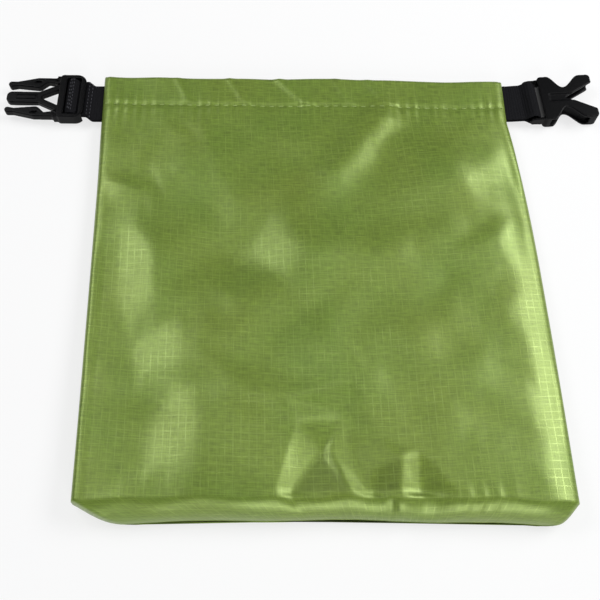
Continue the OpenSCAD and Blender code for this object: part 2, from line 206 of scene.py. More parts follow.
# Lamps: name, place, the point that it looks at, width and length in metres, and watts.
LAMPS = (
    ("window_right", (0.68, 0.26, 0.62), (0.03, 0.1, 0), 0.6, 0.36, 6.4),
    ("window_left", (-0.54, 0.34, 0.68), (-0.03, 0.1, 0), 0.5, 0.32, 2.75),
    ("skylight", (0.05, 0.2, 0.86), (0, 0, 0), 0.4, 0.2, 0.48),
    ("front_fill", (0.15, -0.95, 0.4), (0, 0, 0), 0.6, 0.6, 5.0),
)
world = bpy.data.worlds.new("studio_room")
scene.world = world
world.use_nodes = True
tree = world.node_tree
tree.nodes.clear()
path = add_node(tree, "ShaderNodeLightPath")
room = add_node(tree, "ShaderNodeBackground", {"Color": paint("#e8ecf2"), "Strength": ROOM_LIGHT})
blank = add_node(tree, "ShaderNodeBackground", {"Color": (1, 1, 1, 1), "Strength": 1.0})
mixed = add_node(tree, "ShaderNodeMixShader",
                 {0: path.outputs["Is Camera Ray"], 1: room.outputs[0], 2: blank.outputs[0]})
add_node(tree, "ShaderNodeOutputWorld", {"Surface": mixed.outputs[0]})
for name, place, aim, width, length, watts in LAMPS:
    lamp_data = bpy.data.lights.new(name, "AREA")
    lamp_data.shape = "RECTANGLE"
    lamp_data.size = width
    lamp_data.size_y = length
    lamp_data.energy = watts
    lamp = put(name, lamp_data)
    lamp.location = place
    lamp.rotation_euler = (Vector(aim) - Vector(place)).to_track_quat("-Z", "Y").to_euler()
print("lamps:", [lamp[0] for lamp in LAMPS])

# %% [markdown]
# ## Coated ripstop nylon
# Ripstop is a thin plain weave with a heavier thread every few millimetres, which makes the small
# squares. They follow the cloth and not the room, so the material reads the piece's own UV map, which is
# laid out in millimetres. A heavier thread dips under the coat now and then, so it shows as dashes.

# %% Threads and grain of the cloth
RIPSTOP_PITCH = 2.9       # mm between the heavier threads
RIPSTOP_THREAD = 0.36     # mm width of a heavier thread
DASH_L, DASH_W = 6, 1.4   # mm of heavier thread that shows at a time


def thread_lines(tree, coordinate):
    """1 on the heavier threads across a coordinate in millimetres, 0 between them, with soft sides."""
    cell = add_node(tree, "ShaderNodeMath", {0: coordinate, 1: RIPSTOP_PITCH}, operation="DIVIDE")
    part = add_node(tree, "ShaderNodeMath", {0: cell.outputs[0], 1: 1.0}, operation="FLOORED_MODULO")
    off = add_node(tree, "ShaderNodeMath", {0: part.outputs[0], 1: 0.5}, operation="SUBTRACT")
    far = add_node(tree, "ShaderNodeMath", {0: off.outputs[0]}, operation="ABSOLUTE")
    edge = RIPSTOP_THREAD / RIPSTOP_PITCH / 2
    return add_node(tree, "ShaderNodeMapRange",
                    {"Value": far.outputs[0], "From Min": edge * 0.3, "From Max": edge * 1.7,
                     "To Min": 1.0, "To Max": 0.0}, interpolation_type="SMOOTHSTEP").outputs[0]


def cloth_grain(tree, place, across, along, detail):
    """Soft random grain on the cloth, of a size in millimetres across and along the sack."""
    mapped = add_node(tree, "ShaderNodeMapping", {"Vector": place, "Scale": (1 / across, 1 / along, 1)})
    return add_node(tree, "ShaderNodeTexNoise",
                    {"Vector": mapped.outputs[0], "Scale": 1.0, "Detail": detail}).outputs[0]


def ripstop_squares(tree, place):
    """The dashes of heavier thread both ways, from 0 to 1."""
    split = add_node(tree, "ShaderNodeSeparateXYZ", {0: place})
    ways = []
    for axis, across, along in ((0, DASH_W, DASH_L), (1, DASH_L, DASH_W)):
        line = thread_lines(tree, split.outputs[axis])
        grain = cloth_grain(tree, place, across, along, 1.0)
        dashes = add_node(tree, "ShaderNodeMapRange", {"Value": grain, "From Min": 0.38, "From Max": 0.7,
                                                       "To Min": 0.25, "To Max": 0.9})
        way = add_node(tree, "ShaderNodeMath", {0: line, 1: dashes.outputs[0]}, operation="MULTIPLY")
        ways.append(way.outputs[0])
    return add_node(tree, "ShaderNodeMath", {0: ways[0], 1: ways[1]}, operation="MAXIMUM").outputs[0]


print("squares of", RIPSTOP_PITCH, "mm")

# %% [markdown]
# A coat of silicone or polyurethane gives the cloth a satin gloss, so bright folds go pale while flat
# cloth stays olive green. The coat lies smoother on the heavier threads, so the squares glint in bright
# folds. Deep in the dents the colour is darkened with painted shade, on the faces that the piece's
# attribute dent_painted_shade marks.
# The weave between the squares is far too fine to show, so it is drawn as faint streaks about half a
# millimetre apart.

# %% Coated ripstop nylon
STREAK = 0.45             # mm between the drawn weave streaks
WEFT_L, WARP_L = 5, 4     # mm length of such a streak across and along the sack
DYE_PATCH = 38            # mm across a patch where the coat took more dye
WORN_PATCH = 16           # mm across a patch where the squares stand out or fade
GROUND_ROUGH = 0.4        # satin
THREAD_ROUGH = 0.17       # smoother, over the heavier threads
COAT_IOR = 1.66           # nylon has 1.53, and the coat shines more than bare nylon
SHADE_PAINT_KEPT = 0.76       # share of its colour that the cloth keeps under the painted shade in a dent
WEAVE_RELIEF = 0.05       # mm


def make_ripstop(name):
    cloth, tree = new_material(name)
    place = add_node(tree, "ShaderNodeUVMap", uv_map="cloth_mm").outputs[0]
    squares = ripstop_squares(tree, place)
    weft = cloth_grain(tree, place, WEFT_L, STREAK, 2.0)
    warp = cloth_grain(tree, place, STREAK, WARP_L, 2.0)
    weave = add_node(tree, "ShaderNodeMath", {0: warp, 1: 0.6, 2: weft}, operation="MULTIPLY_ADD")
    patches = cloth_grain(tree, place, DYE_PATCH, DYE_PATCH, 2.0)
    worn = cloth_grain(tree, place, WORN_PATCH, WORN_PATCH, 1.0)
    dye = add_node(tree, "ShaderNodeMix", {0: patches, 6: paint("#59762b"), 7: paint("#6a782a")},
                   data_type="RGBA")
    streaks = add_node(tree, "ShaderNodeMapRange",
                       {"Value": weave.outputs[0], "From Min": 0.55, "From Max": 1.05,
                        "To Min": 0.64, "To Max": 1.36})
    # Painted shade: the colour is darkened on the dent faces that the attribute marks.
    dent_painted_shade = add_node(tree, "ShaderNodeAttribute", attribute_name="dent_painted_shade")
    shade_paint_factor = add_node(tree, "ShaderNodeMapRange",
                       {"Value": dent_painted_shade.outputs["Fac"], "To Min": 1.0, "To Max": SHADE_PAINT_KEPT})
    ground = add_node(tree, "ShaderNodeVectorMath", {0: dye.outputs[2], 3: streaks.outputs[0]},
                      operation="SCALE")
    ground = add_node(tree, "ShaderNodeVectorMath", {0: ground.outputs[0], 3: shade_paint_factor.outputs[0]},
                      operation="SCALE")
    faint = add_node(tree, "ShaderNodeMapRange", {"Value": worn, "From Min": 0.35, "From Max": 0.65,
                                                  "To Min": 0.25, "To Max": 0.75})
    shown = add_node(tree, "ShaderNodeMath", {0: squares, 1: faint.outputs[0]}, operation="MULTIPLY")
    colour = add_node(tree, "ShaderNodeMix",
                      {0: shown.outputs[0], 6: ground.outputs[0], 7: paint("#879b4c")}, data_type="RGBA")
    rough = add_node(tree, "ShaderNodeMapRange",
                     {"Value": shown.outputs[0], "To Min": GROUND_ROUGH, "To Max": THREAD_ROUGH})
    relief = add_node(tree, "ShaderNodeMath", {0: weave.outputs[0], 1: 0.7, 2: shown.outputs[0]},
                      operation="MULTIPLY_ADD")
    bump = add_node(tree, "ShaderNodeBump", {"Height": relief.outputs[0], "Strength": 0.4,
                                             "Distance": WEAVE_RELIEF * MM})
    shader = add_node(tree, "ShaderNodeBsdfPrincipled",
                      {"Base Color": colour.outputs[2], "Roughness": rough.outputs[0],
                       "Normal": bump.outputs[0], "IOR": COAT_IOR, "Specular IOR Level": 1.0,
                       "Specular Tint": paint("#e4fba6")})
    add_node(tree, "ShaderNodeOutputMaterial", {"Surface": shader.outputs[0]})
    return cloth


ripstop = make_ripstop("coated_ripstop_nylon")
print("material:", ripstop.name)

# %% [markdown]
# ## Thread, tape, webbing and moulded acetal
# Sewing thread is spun polyester, dull and a little fuzzy. The seams inside are sealed with a pale
# matt tape. Nylon webbing is a thick plain weave whose cross ribs are cut into the mesh, so its material
# only adds the yarns. The buckle is acetal, moulded in a lightly spark-eroded tool: near black, satin,
# with a very fine grit that breaks up its highlights.

# %% Thread, tape, webbing and acetal
ROUGH_SPREAD = 0.07       # how far the roughness goes up and down with the grain


def make_plain(name, dark, light, grain_mm, roughness, relief_mm, gloss=0.5):
    """A material mottled between two colours at one grain size, on Object coordinates in metres."""
    made, tree = new_material(name)
    place = add_node(tree, "ShaderNodeTexCoord")
    grain = add_node(tree, "ShaderNodeTexNoise", {"Vector": place.outputs["Object"],
                                                  "Scale": 1 / (grain_mm * MM), "Detail": 3.0})
    colour = add_node(tree, "ShaderNodeMix", {0: grain.outputs[0], 6: paint(dark), 7: paint(light)},
                      data_type="RGBA")
    rough = add_node(tree, "ShaderNodeMapRange",
                     {"Value": grain.outputs[0], "To Min": roughness - ROUGH_SPREAD,
                      "To Max": roughness + ROUGH_SPREAD})
    bump = add_node(tree, "ShaderNodeBump", {"Height": grain.outputs[0], "Strength": 0.6,
                                             "Distance": relief_mm * MM})
    shader = add_node(tree, "ShaderNodeBsdfPrincipled",
                      {"Base Color": colour.outputs[2], "Roughness": rough.outputs[0],
                       "Normal": bump.outputs[0], "Specular IOR Level": gloss})
    add_node(tree, "ShaderNodeOutputMaterial", {"Surface": shader.outputs[0]})
    return made


# Finishes: name, dark and light colour, grain in mm, roughness and relief in mm, and gloss if dull.
thread_green = make_plain("spun_polyester_thread", "#7f944a", "#9db168", 0.25, 0.75, 0.03)
thread_black = make_plain("black_polyester_thread", "#1c1c20", "#3a3a42", 0.25, 0.6, 0.03)
tape = make_plain("matt_seam_tape", "#848f66", "#939e76", 1.2, 0.7, 0.02)
strip = make_plain("polyethylene_strip", "#d2d2cc", "#dedfd9", 2.0, 0.5, 0.01)
webbing = make_plain("woven_nylon_webbing", "#000000", "#242427", 0.45, 0.8, 0.06, gloss=0.05)
acetal = make_plain("moulded_black_acetal", "#030304", "#060607", 0.35, 0.36, 0.008, gloss=0.1)
print("materials:", [m.name for m in (thread_green, thread_black, tape, strip, webbing, acetal)])

# %% [markdown]
# ## The shape of the sack
# The sack is a tube of cloth, sewn flat at the bottom with boxed corners. Lying empty it is a low loft:
# each slice across it has a back that lies on the table, a front that rises a few millimetres over it,
# and a crisp fold at each side. Near the base the front climbs to a ridge, where the boxed bottom turns
# down to the table. The functions below give the outline and the height of the front, from a few sizes
# that were read from the photograph.

# %% Outline and height of the sack
HALF_W = 92               # about half the sack's width
HALF_MOUTH = 92.4
SIDE_TOP, SIDE_RUN = 95, 185        # where the left side starts to run in, and over which length
LEFT_IN = 4.7             # how far it runs in
FLARE_TOP, FLARE_REACH = 78, 52     # where the right side starts to bow out, and how soon it does
RIGHT_OUT = 7.4           # how far it bows out
HEM_SLANT = 1.5           # how much lower the mouth lies at its right end than in the middle
HEM_WAVES = ((0.35, 17.0, 0.8), (0.2, 6.1, 0))     # height, length over 2 pi and start
MOUTH_H = 6.3             # height of the front at the mouth
RIDGE_CLIMB = 6.2         # how much higher the ridge is
CLIMB_POWER = 1.7         # the climb is steepest at the ridge
FOLD_R = 0.7              # size of a crisp side fold


def left_edge(y):
    return -HALF_MOUTH + LEFT_IN * (SIDE_TOP - y) / SIDE_RUN


def right_edge(y):
    return HALF_MOUTH + RIGHT_OUT * (1 - np.exp(-np.clip(FLARE_TOP - y, 0, None) / FLARE_REACH))


def hem_edge(x):
    """The mouth's edge, which lies a little aslant and is never quite straight."""
    y = Y_HEM - HEM_SLANT * x / HALF_W
    for height, length, start in HEM_WAVES:
        y = y + height * np.sin(x / length + start)
    return y


def front_height(y):
    """Height of the front over the table in the middle, from the mouth to the ridge."""
    return MOUTH_H + RIDGE_CLIMB * np.clip((Y_HEM - y) / SACK_LEN, 0, 1) ** CLIMB_POWER


def round_rise(d, r):
    """Rise from 0 to 1 over a round side fold, at a distance d from the edge."""
    return np.sqrt(1 - (1 - np.clip(d / r, 0, 1)) ** 2)


def crisp_rise(d, slow, reach):
    """Rise from a sharp side fold: a share of it slow, over the reach, and the rest at once."""
    return 1 - slow * np.exp(-d / reach) - (1 - slow) * np.exp(-d / FOLD_R)


print("outline: mouth", round(right_edge(SIDE_TOP) - left_edge(SIDE_TOP), 1), "mm, ridge",
      round(right_edge(Y_RIDGE) - left_edge(Y_RIDGE), 1), "mm wide")

# %% [markdown]
# ## Creases, facets and dents
# Satin cloth shows its shape by where it turns to a lamp, so the relief is put in where the
# photograph shows light and shade. A crease is a soft ridge along a line. A facet is a patch that leans
# to one side. A dent is a pointed hollow that opens towards the ridge, where the base seam draws the
# cloth in. It is folded from flat triangles. Slow waves keep the rest from lying dead flat.

# %% Creases, facets and waves
# Creases: from, to, width and height in millimetres.
CREASES = [
    ((34, 78), (14, 50), 7.5, 1.8), ((50, 80), (28, 38), 8, -0.5),
    ((-45, 76), (-35, 48), 6, 0.5), ((-60, 79), (-48, 46), 8, 0.4),
    ((-85, 44), (-74, 41), 4, 0.5), ((88, 24), (70, 12), 5, 0.4),
    ((-48, -20), (-38, -46), 7, -0.5), ((-38, -40), (-22, -52), 6, 0.4),
    ((56, 30), (70, -6), 8, 0.4), ((8, -28), (22, -44), 7, 0.4),
    ((-58, 100), (-52, 87), 1.7, 0.4), ((-34, 100), (-26, 87), 1.8, 0.7),
    ((-11, 100), (1, 87), 1.9, 1.0), ((15, 99), (22, 87), 1.8, 0.6),
    ((30, 99), (40, 86), 1.9, 0.8),
]
# Facets: middle, half widths, and lean, which is positive where the cloth climbs towards +X.
FACETS = [
    ((-70, 1), (13, 22), 0.2), ((-56, -29), (21, 18), 0.21), ((-51, -67), (23, 20), 0.22),
    ((-12, 11), (25, 14), 0.24), ((89, 48), (32, 18), -0.24), ((71, 52), (11, 15), -0.13),
    ((93, 20), (16, 15), -0.14), ((44, 8), (15, 11), -0.1), ((50, -32), (11, 10), -0.1),
    ((16, -36), (17, 11), -0.06), ((-83, 40), (8, 6), 0.1), ((-25, 36), (24, 15), 0.07),
    ((-33, -11), (17, 14), 0.08), ((-37, -48), (13, 9), 0.06), ((62, -62), (14, 13), -0.06),
    ((10, -54), (30, 10), -0.07),
]
# Slow waves in every direction: length in millimetres, heading and start.
chance = np.random.default_rng(11)
WAVES = [(chance.uniform(18, 60), chance.uniform(0, math.pi), chance.uniform(0, 1)) for _ in range(40)]
print("creases:", len(CREASES), "facets:", len(FACETS), "waves:", len(WAVES))

# %% [markdown]
# The dents are a small net of triangles between named corners. A point's depth is read from the triangle
# that it lies in, and a mean over places close by rounds the folds between the triangles. The same mean
# tells how far a point lies inside the faces that get painted shade.

# %% Dents
# Corners: x, y and depth, from the crest down to the ridge. Capitals lie just beyond the ridge.
DENT_CORNERS = {
    "a": (-5, -63, -1.2), "b": (5.4, -72.2, 3.2), "c": (-6, -87.4, 2.2), "d": (-12.5, -87.4, -0.2),
    "e": (7.4, -73, 1.5), "f": (15, -87.4, -0.6), "g": (22, -87.4, 1.8), "h": (16, -73, 2.8),
    "i": (24, -87.4, 2.6), "j": (27, -68, 0.9), "k": (34.5, -75.5, -0.7), "l": (33, -87.4, 1.0),
    "m": (41.5, -87.4, 3.6), "n": (42, -73, 0.4), "o": (54, -88, 0), "p": (-20, -64, 0),
    "q": (-26, -88, 0), "r": (14, -60, 2.1), "s": (46, -66, 0), "u": (25.5, -79, 0.8),
    "v": (18, -46, 0), "w": (-10, -54, 0), "D": (-12.5, -91, -0.1), "C": (-6, -91, 1.0),
    "F": (15, -91, -0.2), "G": (22, -91, 0.8), "I": (24, -91, 1.2), "L": (33, -91, 0.4),
    "M": (41.5, -91, 1.6), "Q": (-26, -91, 0), "O": (54, -91, 0),
}
DENT_FACES = (
    "adc", "acb", "bcf", "bfe", "abr", "ber", "efg", "egh", "ehr", "rhj", "hgu", "ugi", "huj", "ujk",
    "uik", "ilk", "klm", "kmn", "jkn", "jns", "nso", "nmo", "paq", "aqd", "pwa", "war", "wrv", "vrj",
    "vjs", "qQD", "qDd", "dDC", "dCc", "cCF", "cFf", "fFG", "fGg", "gGI", "gIi", "iIL", "iLl", "lLM",
    "lMm", "mMO", "mOo")
SHADE_PAINTED_FACES = ("bcf", "bfe", "uik", "ilk")     # the faces deep in a dent, whose colour gets painted shade
DENT_TOP = -45            # where the first dent begins
DENT_SOFT = 0.7           # mm by which the folds between the triangles are rounded


def dents(x, y):
    """Depth of the dents, and the share of painted shade at each point, as means over places close by."""
    depth, dent_painted_shade = np.zeros_like(x), np.zeros_like(x)
    if y.min() > DENT_TOP:
        return depth, dent_painted_shade
    shifts = (-DENT_SOFT, 0, DENT_SOFT)
    places = [(x + across, y + along) for across in shifts for along in shifts]
    for px, py in places:
        for corners in DENT_FACES:
            (x0, y0, z0), (x1, y1, z1), (x2, y2, z2) = (DENT_CORNERS[c] for c in corners)
            area = (x1 - x0) * (y2 - y0) - (x2 - x0) * (y1 - y0)
            b = ((px - x0) * (y2 - y0) - (x2 - x0) * (py - y0)) / area
            c = ((x1 - x0) * (py - y0) - (px - x0) * (y1 - y0)) / area
            inside = (b >= 0) & (c >= 0) & (b + c < 1)
            depth = depth + inside * (z0 + b * (z1 - z0) + c * (z2 - z0)) / len(places)
            dent_painted_shade = dent_painted_shade + inside * (corners in SHADE_PAINTED_FACES) / len(places)
    return depth, dent_painted_shade


print("dent triangles:", len(DENT_FACES))

# %% [markdown]
# The height that all of these add is their sum. The base seam adds small gathers at its right end, and
# the hem's stitches pull puckers of their own: one at each stitch, stronger in some places than in
# others, with an uneven wave over them.

# %% Height of the folds
WAVE_HEIGHT = 0.0013      # share of a wave's length
CREASE_END = 1.2          # widths over which a crease fades past its ends
GATHER_FROM, GATHER_TO = 34, 80     # where the gathers begin and end, along X
GATHER_GROW, GATHER_FADE = 8, 10    # mm over which they grow and fade
GATHER_Y, GATHER_HALF = -88, 3      # their middle and half length
GATHER_PITCH, GATHER_H = 6.8, 0.16
GATHER_SWAY, SWAY_L = 1.6, 5.0      # how far and how fast their pitch wanders
STITCH_PITCH = 4.2        # mm from one hem stitch to the next


def folds(x, y):
    """Height that creases, facets, dents, gathers and slow waves add to the front."""
    z = np.zeros_like(x)
    for length, heading, start in WAVES:
        ahead = (x * math.cos(heading) + y * math.sin(heading)) / length
        z = z + WAVE_HEIGHT * length * np.sin(2 * np.pi * (ahead + start))
    for (x0, y0), (x1, y1), width, height in CREASES:
        length = math.hypot(x1 - x0, y1 - y0)
        s = ((x - x0) * (x1 - x0) + (y - y0) * (y1 - y0)) / length
        off = ((x - x0) * (y1 - y0) - (y - y0) * (x1 - x0)) / length
        beyond = np.maximum(np.maximum(-s, s - length), 0)
        z = z + height * np.exp(-(off / width) ** 2 - (beyond / (CREASE_END * width)) ** 2)
    for (xm, ym), (rx, ry), lean in FACETS:
        z = z + lean * (x - xm) * np.exp(-((x - xm) / rx) ** 2 - ((y - ym) / ry) ** 2)
    z = z - dents(x, y)[0]
    begun = smoothstep(GATHER_FROM, GATHER_FROM + GATHER_GROW, x)
    where = begun * (1 - smoothstep(GATHER_TO - GATHER_FADE, GATHER_TO, x))
    wave = np.sin(2 * np.pi * x / GATHER_PITCH + GATHER_SWAY * np.sin(x / SWAY_L))
    return z + GATHER_H * where * wave * np.exp(-((y - GATHER_Y) / GATHER_HALF) ** 2)


def puckers(x):
    """Small gathers that the hem's stitches pull into the cloth."""
    at_stitch = np.cos(2 * np.pi * x / STITCH_PITCH)
    strength = 0.55 + 0.45 * np.sin(x / 7.0 + 1.0)
    uneven = 0.5 * np.sin(x / 2.3 + 1.2 * np.sin(x / 9.0))
    return at_stitch * strength + uneven


sample = folds(np.array([-60.0, 0, 60]), np.zeros(3))
print("folds at three points across the middle:", np.round(sample, 1), "mm")

# %% [markdown]
# ## Lofting the cloth
# Each row of the loft is a ring: over the front from left to right, and back under it. The rows lie
# closer together at the hem's stitches, where the mouth rolls over, and at the ridge. The front has more
# columns than the back, and all columns crowd towards the side folds.

# %% Rows and columns of the loft
FRONT_COLUMNS = 220
BACK_COLUMNS = 60
EDGE_CROWD = 0.35         # how much closer columns lie at the side folds
# Rows, in millimetres down from the mouth.
hem_rows = [0, 0.5, 1.2, 2.2, 3.5, 5, 6.5, 8, 9.5, 11, 12.3, 13.3, 14.2, 15, 15.8, 16.8, 18]
roll_rows = list(np.linspace(19, 37, 21))
body_rows = list(np.linspace(38.6, 186, 91)) + [187.2, 188.3, 189.2, SACK_LEN]
front_rows = hem_rows + roll_rows + body_rows


def spread(count):
    """Shares from 0 to 1 across a row, crowded towards both ends."""
    even = np.linspace(0, 1, count + 1)
    return even - EDGE_CROWD * np.sin(2 * np.pi * even) / (2 * np.pi)


front_share, back_share = spread(FRONT_COLUMNS), spread(BACK_COLUMNS)
print("rows from the mouth to the ridge:", len(front_rows))

# %% [markdown]
# The side folds run in over the boxed base. The left one lies low, except where the webbing fills it, and
# the right one stands higher. The back lies on the table and curls up to both.

# %% Side folds and back
LEFT_CORNER, RIGHT_CORNER = 20.5, 10.0     # how far the boxed corners run in
CORNER_POWER = 1.2
LEFT_FOLD_H = 1.3         # height of the left side fold
WEB_LIFT = 2.0            # how much higher it lies at the webbing
WEB_FROM, WEB_FULL = 40, 74         # where along Y it starts to climb, and where it is up
RIGHT_FOLD_H = 3.3        # height of the right side fold at the mouth
RIGHT_CLIMB = 0.6         # how much higher it lies at the ridge
BACK_H = 0.12             # height of the back over the table
CURL_MORE = 1.0           # how much wider than high the back's curl is


def row_sides(down, base):
    """Where a row's side folds lie, with the boxed corners running in over the base."""
    y = Y_HEM - down
    corner = base ** CORNER_POWER
    return left_edge(y) + LEFT_CORNER * corner, right_edge(y) - RIGHT_CORNER * corner


def edge_heights(down):
    """Heights of a row's left and right side fold."""
    near_web = smoothstep(WEB_FROM, WEB_FULL, Y_HEM - down)
    return LEFT_FOLD_H + WEB_LIFT * near_web, RIGHT_FOLD_H + RIGHT_CLIMB * down / SACK_LEN


def back_height(down, base, x):
    """Height of the back along one row."""
    left, right = row_sides(down, base)
    z_left, z_right = edge_heights(down)
    dl, dr = x - left, right - x
    z_edge = np.where(dl < dr, z_left, z_right)
    lift = 1 - round_rise(np.minimum(dl, dr), z_edge + CURL_MORE)
    return BACK_H + (z_edge - BACK_H) * lift


print("side folds at the ridge:", [round(float(z), 1) for z in edge_heights(SACK_LEN)], "mm high")

# %% [markdown]
# The front rises from a crisp fold at each side, or from a round one where the webbing fills the hem.
# Along the right side a band of cloth leans down to the fold, which is the long bright stripe in the
# photograph. The hem's seam sinks into the cloth, and the puckers fade away from it.

# %% Front of a row
RIGHT_BAND = 11           # mm of cloth that lean down towards the right side fold
RIGHT_LEAN = 0.24         # how steeply they lean
BAND_SOFT = 2             # mm over which the lean begins
LEFT_SLOW, LEFT_REACH = 0.14, 8     # share of the left side's rise that is slow, and its reach
ROUND_FROM, ROUND_FULL = 35, 70     # where the round folds begin, and where they are whole
ROUND_R = 3.6
CALM = 7                  # mm along the side folds that take little relief
HEM_RELIEF = 0.75         # share of the relief that shows in the hem
BODY_FROM, BODY_FULL = 2, 22        # mm down from the mouth between which the rest comes in
SEAM_SINK, SEAM_HALF = 0.42, 1.1    # depth and half width of the sewn groove
PUCKER_H, PUCKER_REACH = 0.34, 3.6


def front_points(down, x):
    """Height of the front along one row above the ridge."""
    y = Y_HEM - down
    left, right = row_sides(down, 0)
    z_left, z_right = edge_heights(down)
    dl, dr = x - left, right - x
    share = (x - left) / (right - left)
    near_web = smoothstep(ROUND_FROM, ROUND_FULL, y)
    crisp_left, crisp_right = crisp_rise(dl, LEFT_SLOW, LEFT_REACH), crisp_rise(dr, 0, 1)
    rise_left = (1 - near_web) * crisp_left + near_web * round_rise(dl, ROUND_R)
    rise_right = (1 - near_web) * crisp_right + near_web * round_rise(dr, ROUND_R)
    band = BAND_SOFT * np.log1p(np.exp((RIGHT_BAND - dr) / BAND_SOFT))
    slope = RIGHT_LEAN * band * (1 - near_web)
    z_edge = z_left + (z_right - z_left) * share
    calm = smoothstep(0, CALM, dl) * smoothstep(0, CALM, dr)
    shown = HEM_RELIEF + (1 - HEM_RELIEF) * smoothstep(BODY_FROM, BODY_FULL, down)
    relief = folds(x, np.full_like(x, y)) * shown
    sunk = np.exp(-((down - HEM_W) / SEAM_HALF) ** 2)
    gather = np.exp(-np.abs(down - HEM_W - 1) / PUCKER_REACH)
    relief = relief + PUCKER_H * gather * puckers(x) - SEAM_SINK * sunk
    return z_edge + (front_height(y) - slope - z_edge) * rise_left * rise_right + relief * calm


print("front at the hem's seam:", np.round(front_points(HEM_W, np.array([-40.0, 0, 40])), 1), "mm high")

# %% [markdown]
# A whole row puts the front over the back. Down the base the front turns from lying to hanging, its edge
# bows and ripples a little, and its seam has one small pinch.

# %% A whole row
RIDGE_SAG, END_SAG = 1.3, 1.6       # how far the ridge hangs over, and how much further at its ends
SAG_FROM, SAG_HALF = 150, 95        # mm down where that begins, and where its ends are
TAIL_IN, TAIL_BOW = 2.8, 1.2        # how far in the base's edge lies, and how far it bows
TAIL_HALF, TAIL_POWER = 70, 1.3
TAIL_WAVE, TAIL_WAVE_L = 0.3, 9.0
RIPPLE_H, RIPPLE_L = 0.3, 4.3
PINCH_X, PINCH_HALF, PINCH_DEPTH = 30, 1.6, 1.2
BASE_PLIES = 0.9          # mm from the back to the front where the base ends
BASE_POWER = 0.8
PLY_GAP = 0.5             # mm that front and back keep apart
GAP_FROM = 1.5            # mm from a side fold where they do so


def sack_row(down, base=0.0):
    """One row as (front, back): down is measured from the hem, base from 0 to 1 over the bottom."""
    left, right = row_sides(down, base)
    turn = base * math.pi / 2
    plies = []
    for share in (front_share, back_share):
        x = left + (right - left) * share
        y = Y_HEM - down + (hem_edge(x) - Y_HEM) * (1 - down / SACK_LEN) ** 2
        sag = RIDGE_SAG + END_SAG * np.abs(x / SAG_HALF) ** 4
        y = y - sag * smoothstep(SAG_FROM, SACK_LEN, down)
        if base:
            tail = Y_TAIL + TAIL_IN - TAIL_BOW * (x / TAIL_HALF) ** 2
            tail = tail + TAIL_WAVE * np.sin(x / TAIL_WAVE_L)
            y = y + (tail - y) * math.sin(turn) ** TAIL_POWER
        plies.append(np.stack([x, y, back_height(down, base, x)], 1))
    x, back = plies[0][:, 0], plies[0][:, 2].copy()
    top_left, top_right = row_sides(down, 0)
    front = front_points(down, top_left + (top_right - top_left) * front_share)
    if base:
        pinch = PINCH_DEPTH * np.exp(-((x - PINCH_X) / PINCH_HALF) ** 2)
        ripple = (RIPPLE_H * np.sin(x / RIPPLE_L + 1.0) - pinch) * math.sin(2 * turn)
        hanging = (front - back - BASE_PLIES) * math.cos(turn) ** BASE_POWER
        front = back + BASE_PLIES + hanging + ripple
    clear = smoothstep(0, GAP_FROM, np.minimum(x - left, right - x))
    plies[0][:, 2] = np.maximum(front, back + PLY_GAP * clear)
    plies[0][[0, -1], 2] = back[[0, -1]]
    return plies


def ring_of(front, back):
    """The row's points in order round the tube: the front left to right, then the back."""
    return np.concatenate([front, back[1:-1][::-1]])


print("points in a ring:", len(ring_of(*sack_row(HEM_W))))

# %% [markdown]
# The first rings lie inside the mouth, where the hem is turned in, so the cloth folds over the mouth's
# edge in one piece. Then come the rows down to the ridge. The last ones go down over the base, and the
# end is sewn shut.

# %% Rings from the turned-in hem to the end of the base
TURN_ROWS = (15, 11, 6, 2, 0.5)     # mm from the mouth, inside
TURN_IN = 0.75            # mm between the hem's plies in front
BACK_TURN_IN = 1.35       # mm between them behind, where the stiffener lies
TURN_ROOM = 0.3           # share of the room inside that a ply may take
TURN_NARROW = 0.6         # mm by which the turned-in hem is narrower on each side
LIP_OUT = 0.25            # mm by which the cloth rounds over the mouth's edge
LIP_FRONT, LIP_BACK = -0.4, 0.6     # mm by which the front sinks and the back rises there
LIP_ENDS = 3              # points at each end of a row that stay as they are
BASE_STEPS = 12
BASE_LEN = 18             # mm of cloth over the base
rings, downs = [], []
for down in TURN_ROWS:
    front, back = sack_row(down)
    under = np.interp(front[:, 0], back[:, 0], back[:, 2])
    front[:, 2] -= np.minimum(TURN_IN, TURN_ROOM * (front[:, 2] - under))
    room_left = np.interp(back[:, 0], front[:, 0], front[:, 2] - under)
    back[:, 2] += np.minimum(BACK_TURN_IN, TURN_ROOM * room_left)
    for ply in (front, back):
        ply[:, 0] *= 1 - TURN_NARROW / HALF_W
    rings.append(ring_of(front, back))
    downs.append(-down)
for down in front_rows:
    front, back = sack_row(down)
    if down == 0:
        for ply, sink in ((front, LIP_FRONT), (back, LIP_BACK)):
            ply[:, 1] += LIP_OUT
            ply[LIP_ENDS:-LIP_ENDS, 2] += sink
    rings.append(ring_of(front, back))
    downs.append(down)
for step in range(1, BASE_STEPS + 1):
    rings.append(ring_of(*sack_row(SACK_LEN, step / BASE_STEPS)))
    downs.append(SACK_LEN + BASE_LEN * step / BASE_STEPS)
print("rings:", len(rings), "of", len(rings[0]), "points")

# %% [markdown]
# ## Let the front settle
# An empty sack holds more cloth than its outline needs, and the spare cloth buckles into shallow
# crinkles. Blender's Cloth does that better than any formula. A copy of the front, at every second point,
# is sewn down along its border, grows by 1.6 per cent and settles in a few frames without gravity. It is
# ten times life size meanwhile, because Cloth is tuned for garments.

